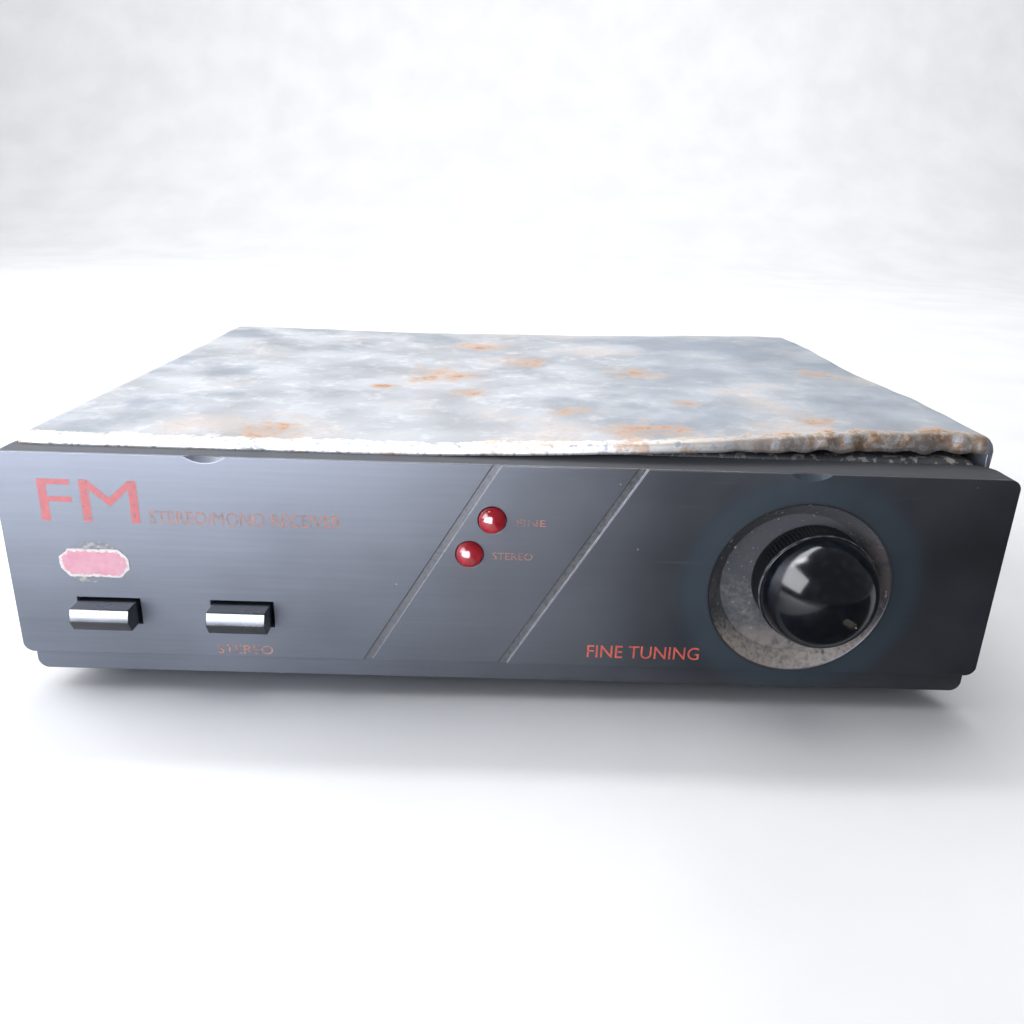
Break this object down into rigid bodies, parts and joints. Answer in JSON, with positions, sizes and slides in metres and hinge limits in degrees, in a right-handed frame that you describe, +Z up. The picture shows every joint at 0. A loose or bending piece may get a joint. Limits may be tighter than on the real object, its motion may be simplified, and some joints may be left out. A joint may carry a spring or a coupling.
{
  "type": "fm stereo receiver",
  "caption": "Slim FM stereo and mono receiver: folded steel case, moulded black front with push buttons, red lamps and a domed tuning knob in a round dish.",
  "frame": {"origin": "middle of the whole set in X and Y, on the surface that its rubber feet stand on", "axes": "+X to the right along the front, +Y to the back, +Z up; the front faces -Y"},
  "size_m": [0.183, 0.1558, 0.0498],
  "materials": {
    "black_abs": "moulded, dusty, lightly scratched",
    "red_paper_label": "worn printed paper",
    "galvanised_tray": "galvanised, tarnished",
    "galvanised_cover": "galvanised, mottled, with rust spots",
    "zinc_screws": "zinc plated",
    "black_rubber": "matt",
    "gloss_black_knob": "polished",
    "black_button": "satin, polished by use",
    "brass_parts": "turned",
    "nickel_parts": "nickel plated",
    "tinned_wire": "tinned",
    "spring_wire": "drawn",
    "white_nylon": "moulded",
    "grey_switch": "moulded",
    "red_lamp_lens": "clear red epoxy",
    "phenolic_board": "paper phenolic",
    "brown_phenolic": "paper phenolic",
    "black_epoxy": "moulded epoxy",
    "ferrite_core": "painted ferrite",
    "enamelled_copper": "enamelled",
    "orange_ceramic": "dipped",
    "blue_sleeve": "shrink sleeve",
    "tan_resistor": "dipped",
    "blue_preset": "moulded",
    "bare_aluminium": "extruded",
    "clear_glass": "clear",
    "varnished_iron": "varnished laminations",
    "yellow_tape": "polyester tape",
    "red_insulator": "moulded",
    "red_wire": "PVC sleeve",
    "grey_wire": "PVC sleeve"
  },
  "bodies": {
    "case": {"front_panel": "black_abs", "panel_sticker": "red_paper_label", "chassis_tray": "galvanised_tray", "top_cover": "galvanised_cover", "cover_screws": "zinc_screws", "panel_screws": "zinc_screws", "rubber_feet": "black_rubber", "foot_screws": "zinc_screws", "control_can": "nickel_parts", "control_bushing": "brass_parts", "control_nut": "nickel_parts", "control_washer": "nickel_parts", "control_tags": "tinned_wire", "power_spring": "spring_wire", "power_switch": "grey_switch", "stereo_spring": "spring_wire", "stereo_switch": "grey_switch", "upper_lamp": "red_lamp_lens", "lower_lamp": "red_lamp_lens", "lamp_leads": "tinned_wire", "main_board": "phenolic_board", "board_pillars": "brass_parts", "board_screws": "zinc_screws", "tuner_chips": "black_epoxy", "chip_legs": "tinned_wire", "coil_cans": "nickel_parts", "coil_cores": "ferrite_core", "air_coils": "enamelled_copper", "ceramic_filters": "orange_ceramic", "electrolytics": "blue_sleeve", "disc_capacitors": "orange_ceramic", "resistors": "tan_resistor", "preset_base": "blue_preset", "regulator": "black_epoxy", "heat_sink": "bare_aluminium", "rectifiers": "black_epoxy", "fuse_clips": "brass_parts", "fuse_glass": "clear_glass", "fuse_caps": "nickel_parts", "transformer_core": "varnished_iron", "transformer_coil": "yellow_tape", "transformer_strap": "galvanised_tray", "transformer_screws": "zinc_screws", "mains_grommet": "black_rubber", "jack_plate": "brown_phenolic", "jack_sleeves": "nickel_parts", "jack_insulators": "red_insulator", "jack_contacts": "brass_parts", "aerial_plate": "brown_phenolic", "aerial_screws": "nickel_parts", "power_wires": "red_wire", "signal_wires": "grey_wire"},
    "knob": {"tuning_knob": "gloss_black_knob", "tuning_shaft": "brass_parts", "control_wiper": "phenolic_board"},
    "power_key": {"power_button": "black_button", "power_plunger": "white_nylon"},
    "stereo_key": {"stereo_button": "black_button", "stereo_plunger": "white_nylon"},
    "preset": {"preset_rotor": "white_nylon"}
  },
  "joints": [
    {"name": "tuning_turn", "type": "hinge", "parent": "case", "child": "knob", "pos_m": [0.057, -0.0647, 0.0268], "axis": [0, 1, 0], "range_deg": [-274, 26]},
    {"name": "power_press", "type": "slide", "parent": "case", "child": "power_key", "axis": [0, 1, 0], "range_m": [0, 0.0035], "stiffness_N_per_m": 400, "deforming": ["power_spring"]},
    {"name": "stereo_press", "type": "slide", "parent": "case", "child": "stereo_key", "axis": [0, 1, 0], "range_m": [0, 0.0035], "stiffness_N_per_m": 400, "deforming": ["stereo_spring"]},
    {"name": "preset_turn", "type": "hinge", "parent": "case", "child": "preset", "pos_m": [-0.00943, -0.00303, 0.0133], "axis": [0, 0, 1], "range_deg": [-130, 130]}
  ]
}
